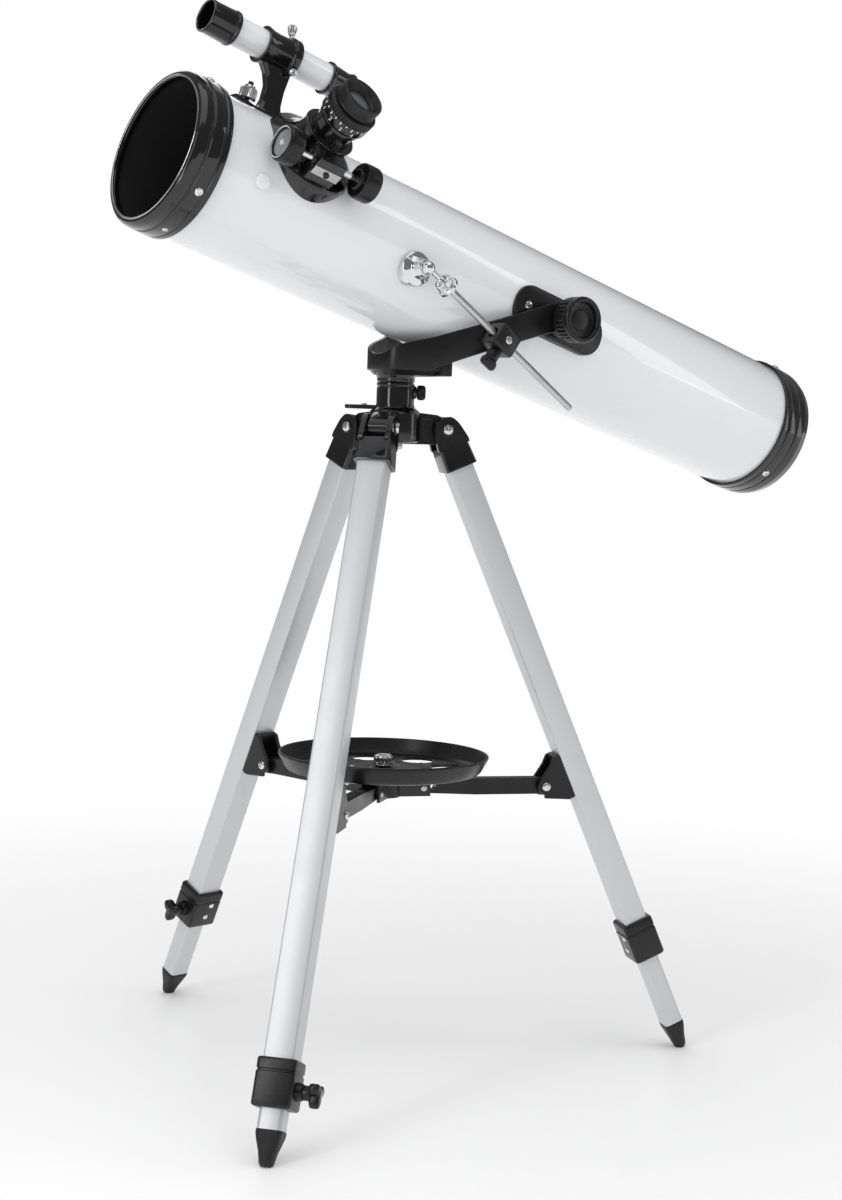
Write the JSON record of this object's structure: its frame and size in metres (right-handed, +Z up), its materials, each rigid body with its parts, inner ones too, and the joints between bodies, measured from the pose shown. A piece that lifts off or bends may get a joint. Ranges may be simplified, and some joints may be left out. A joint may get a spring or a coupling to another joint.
{
  "type": "telescope on tripod",
  "caption": "Reflecting telescope with side focuser and finder in a fork mount with a slow-motion rod, on a folding three-legged stand with an accessory tray.",
  "frame": {"origin": "bottom centre of the bounding box at rest, on the floor", "axes": "+Z up; the optical tube points along -X and upwards; -Y is the side with the slow-motion rod"},
  "size_m": [0.7054, 0.4754, 0.8661],
  "materials": {
    "white_tube_paint": "high gloss white enamel",
    "black_gloss_plastic": "glossy moulded black",
    "black_satin_plastic": "satin moulded black",
    "black_painted_metal": "satin black powder coat",
    "anodised_aluminium": "pale satin anodised extrusion",
    "chrome_fittings": "bright plated",
    "steel_fittings": "turned steel",
    "foot_rubber": "moulded black",
    "mirror_coating": "front-silvered glass"
  },
  "bodies": {
    "tripod_head": {"tripod_head": "black_gloss_plastic"},
    "azimuth_knob": {"azimuth_knob": "black_satin_plastic"},
    "fork": {"fork": "black_painted_metal"},
    "altitude_knob_near": {"altitude_knob_near": "black_satin_plastic"},
    "altitude_knob_far": {"altitude_knob_far": "black_satin_plastic"},
    "optical_tube": {"main_tube": "white_tube_paint", "front_ring": "black_gloss_plastic", "rear_ring": "black_gloss_plastic", "rear_cell": "black_satin_plastic", "primary_mirror": "mirror_coating", "secondary_spider": "black_satin_plastic", "secondary_mirror": "mirror_coating", "altitude_bracket_near": "black_painted_metal", "altitude_bracket_far": "black_painted_metal", "focuser_base": "black_satin_plastic", "finder_bracket": "black_gloss_plastic", "finder_tube": "white_tube_paint", "finder_hood": "black_gloss_plastic", "finder_eyepiece": "black_gloss_plastic", "ball_socket": "chrome_fittings"},
    "drawtube": {"drawtube": "black_painted_metal"},
    "focus_knobs": {"focus_shaft": "steel_fittings", "focus_knob_front": "black_satin_plastic", "focus_knob_rear": "black_satin_plastic"},
    "eyepiece": {"eyepiece": "black_satin_plastic"},
    "finder_nut": {"finder_nut": "chrome_fittings"},
    "finder_screw_top": {"finder_screw_top": "chrome_fittings"},
    "finder_screw_side": {"finder_screw_side": "chrome_fittings"},
    "rod": {"slow_motion_rod": "steel_fittings"},
    "adjuster_nut": {"adjuster_nut": "chrome_fittings"},
    "clamp": {"rod_clamp": "black_satin_plastic"},
    "clamp_screw": {"clamp_screw": "black_satin_plastic"},
    "leg_1": {"leg_1_bracket": "black_gloss_plastic", "leg_1_upper": "anodised_aluminium", "leg_1_clamp": "black_satin_plastic", "leg_1_brace_bracket": "black_satin_plastic"},
    "leg_1_lower": {"leg_1_lower": "anodised_aluminium", "leg_1_foot": "foot_rubber"},
    "leg_1_screw": {"leg_1_thumbscrew": "black_satin_plastic"},
    "leg_1_brace": {"leg_1_brace": "black_satin_plastic"},
    "leg_2": {"leg_2_bracket": "black_gloss_plastic", "leg_2_upper": "anodised_aluminium", "leg_2_clamp": "black_satin_plastic", "leg_2_brace_bracket": "black_satin_plastic"},
    "leg_2_lower": {"leg_2_lower": "anodised_aluminium", "leg_2_foot": "foot_rubber"},
    "leg_2_screw": {"leg_2_thumbscrew": "black_satin_plastic"},
    "leg_2_brace": {"leg_2_brace": "black_satin_plastic"},
    "leg_3": {"leg_3_bracket": "black_gloss_plastic", "leg_3_upper": "anodised_aluminium", "leg_3_clamp": "black_satin_plastic", "leg_3_brace_bracket": "black_satin_plastic"},
    "leg_3_lower": {"leg_3_lower": "anodised_aluminium", "leg_3_foot": "foot_rubber"},
    "leg_3_screw": {"leg_3_thumbscrew": "black_satin_plastic"},
    "leg_3_brace": {"leg_3_brace": "black_satin_plastic"},
    "spreader": {"spreader_plate": "black_satin_plastic", "tray": "black_satin_plastic"},
    "tray_knob": {"tray_knob": "steel_fittings"}
  },
  "joints": [
    {"name": "azimuth", "type": "hinge", "parent": "tripod_head", "child": "fork", "pos_m": [-0.09986, -0.04578, 0.5784], "axis": [0, 0, 1], "continuous": true},
    {"name": "altitude", "type": "hinge", "parent": "fork", "child": "optical_tube", "pos_m": [0.02373, -0.04578, 0.6361], "axis": [0, 1, 0], "range_deg": [-2, 24]},
    {"name": "rod_swivel", "type": "hinge", "parent": "optical_tube", "child": "rod", "pos_m": [-0.12787, -0.12378, 0.66836], "axis": [0, 1, 0], "range_deg": [-2, 8.5]},
    {"name": "clamp_swivel", "type": "hinge", "parent": "fork", "child": "clamp", "pos_m": [-0.05086, -0.12378, 0.61514], "axis": [0, 1, 0], "range_deg": [-6, 32.5]},
    {"name": "adjuster_spin", "type": "hinge", "parent": "rod", "child": "adjuster_nut", "pos_m": [-0.12787, -0.12378, 0.66836], "axis": [0.8227, 0, -0.5685], "continuous": true},
    {"name": "clamp_screw_spin", "type": "hinge", "parent": "clamp", "child": "clamp_screw", "pos_m": [-0.05086, -0.12378, 0.61514], "axis": [-0.5685, 0, -0.8227], "continuous": true},
    {"name": "altitude_knob_near_spin", "type": "hinge", "parent": "fork", "child": "altitude_knob_near", "pos_m": [0.02373, -0.04578, 0.6361], "axis": [0, -1, 0], "continuous": true},
    {"name": "altitude_knob_far_spin", "type": "hinge", "parent": "fork", "child": "altitude_knob_far", "pos_m": [0.02373, -0.04578, 0.6361], "axis": [0, 1, 0], "continuous": true},
    {"name": "azimuth_knob_spin", "type": "hinge", "parent": "tripod_head", "child": "azimuth_knob", "pos_m": [-0.09986, -0.04578, 0.5709], "axis": [0.866, -0.5, 0], "continuous": true},
    {"name": "focus_travel", "type": "slide", "parent": "optical_tube", "child": "drawtube", "axis": [0.1715, -0.7997, 0.5754], "range_m": [-0.01, 0.02]},
    {"name": "focus_spin", "type": "hinge", "parent": "optical_tube", "child": "focus_knobs", "pos_m": [-0.22719, -0.12249, 0.73947], "axis": [-0.9583, 0, 0.2857], "range_deg": [-206, 104]},
    {"name": "eyepiece_pull", "type": "slide", "parent": "drawtube", "child": "eyepiece", "axis": [0.1715, -0.7997, 0.5754], "range_m": [0, 0.04]},
    {"name": "finder_nut_spin", "type": "hinge", "parent": "optical_tube", "child": "finder_nut", "pos_m": [-0.27293, -0.04578, 0.72955], "axis": [0.2857, 0, 0.9583], "continuous": true},
    {"name": "finder_screw_top_spin", "type": "hinge", "parent": "optical_tube", "child": "finder_screw_top", "pos_m": [-0.21506, -0.04578, 0.83021], "axis": [0.2734, 0.29, 0.9171], "continuous": true},
    {"name": "finder_screw_side_spin", "type": "hinge", "parent": "optical_tube", "child": "finder_screw_side", "pos_m": [-0.21506, -0.04578, 0.83021], "axis": [-0.2146, -0.6601, -0.7198], "continuous": true},
    {"name": "leg_1_fold", "type": "hinge", "parent": "tripod_head", "child": "leg_1", "pos_m": [-0.13356, -0.07249, 0.5408], "axis": [0.6211, -0.7837, 0], "range_deg": [0, 4.5]},
    {"name": "leg_1_extend", "type": "slide", "parent": "leg_1", "child": "leg_1_lower", "axis": [-0.3173, -0.2515, -0.9144], "range_m": [-0.017, 0.174]},
    {"name": "leg_1_screw_spin", "type": "hinge", "parent": "leg_1", "child": "leg_1_screw", "pos_m": [-0.30365, -0.2073, 0.05071], "axis": [0.6211, -0.7837, 0], "continuous": true},
    {"name": "leg_1_brace_fold", "type": "hinge", "parent": "leg_1", "child": "leg_1_brace", "pos_m": [-0.2119, -0.13458, 0.23728], "axis": [0.6211, -0.7837, 0], "range_deg": [0, 30]},
    {"name": "leg_2_fold", "type": "hinge", "parent": "tripod_head", "child": "leg_2", "pos_m": [-0.05989, -0.06161, 0.5408], "axis": [0.3681, 0.9298, 0], "range_deg": [0, 4.5]},
    {"name": "leg_2_extend", "type": "slide", "parent": "leg_2", "child": "leg_2_lower", "axis": [0.3765, -0.1491, -0.9144], "range_m": [-0.068, 0.123]},
    {"name": "leg_2_screw_spin", "type": "hinge", "parent": "leg_2", "child": "leg_2_screw", "pos_m": [0.12271, -0.13391, 0.09734], "axis": [0.3681, 0.9298, 0], "continuous": true},
    {"name": "leg_2_brace_fold", "type": "hinge", "parent": "leg_2", "child": "leg_2_brace", "pos_m": [0.03306, -0.09841, 0.23728], "axis": [0.3681, 0.9298, 0], "range_deg": [0, 30]},
    {"name": "leg_3_fold", "type": "hinge", "parent": "tripod_head", "child": "leg_3", "pos_m": [-0.10615, -0.00325, 0.5408], "axis": [-0.9893, -0.1461, 0], "range_deg": [0, 4.5]},
    {"name": "leg_3_extend", "type": "slide", "parent": "leg_3", "child": "leg_3_lower", "axis": [-0.0592, 0.4006, -0.9144], "range_m": [-0.06, 0.131]},
    {"name": "leg_3_screw_spin", "type": "hinge", "parent": "leg_3", "child": "leg_3_screw", "pos_m": [-0.13531, 0.19424, 0.09002], "axis": [-0.9893, -0.1461, 0], "continuous": true},
    {"name": "leg_3_brace_fold", "type": "hinge", "parent": "leg_3", "child": "leg_3_brace", "pos_m": [-0.12075, 0.09564, 0.23728], "axis": [-0.9893, -0.1461, 0], "range_deg": [0, 30]},
    {"name": "spreader_lift", "type": "slide", "parent": "tripod_head", "child": "spreader", "axis": [0, 0, 1], "range_m": [0, 0.052]},
    {"name": "tray_knob_spin", "type": "hinge", "parent": "spreader", "child": "tray_knob", "pos_m": [-0.09986, -0.04578, 0.2584], "axis": [0, 0, 1], "continuous": true}
  ],
  "couplings": [
    {"joint": "rod_swivel", "follows": "altitude", "ratio": 0.32},
    {"joint": "clamp_swivel", "follows": "altitude", "ratio": 1.32},
    {"joint": "focus_spin", "follows": "focus_travel", "rad_per_m": -178},
    {"joint": "leg_1_brace_fold", "follows": "leg_1_fold", "ratio": 6.6},
    {"joint": "leg_2_fold", "follows": "leg_1_fold", "ratio": 1},
    {"joint": "leg_2_brace_fold", "follows": "leg_1_fold", "ratio": 6.6},
    {"joint": "leg_3_fold", "follows": "leg_1_fold", "ratio": 1},
    {"joint": "leg_3_brace_fold", "follows": "leg_1_fold", "ratio": 6.6},
    {"joint": "spreader_lift", "follows": "leg_1_fold", "m_per_rad": 0.65}
  ]
}
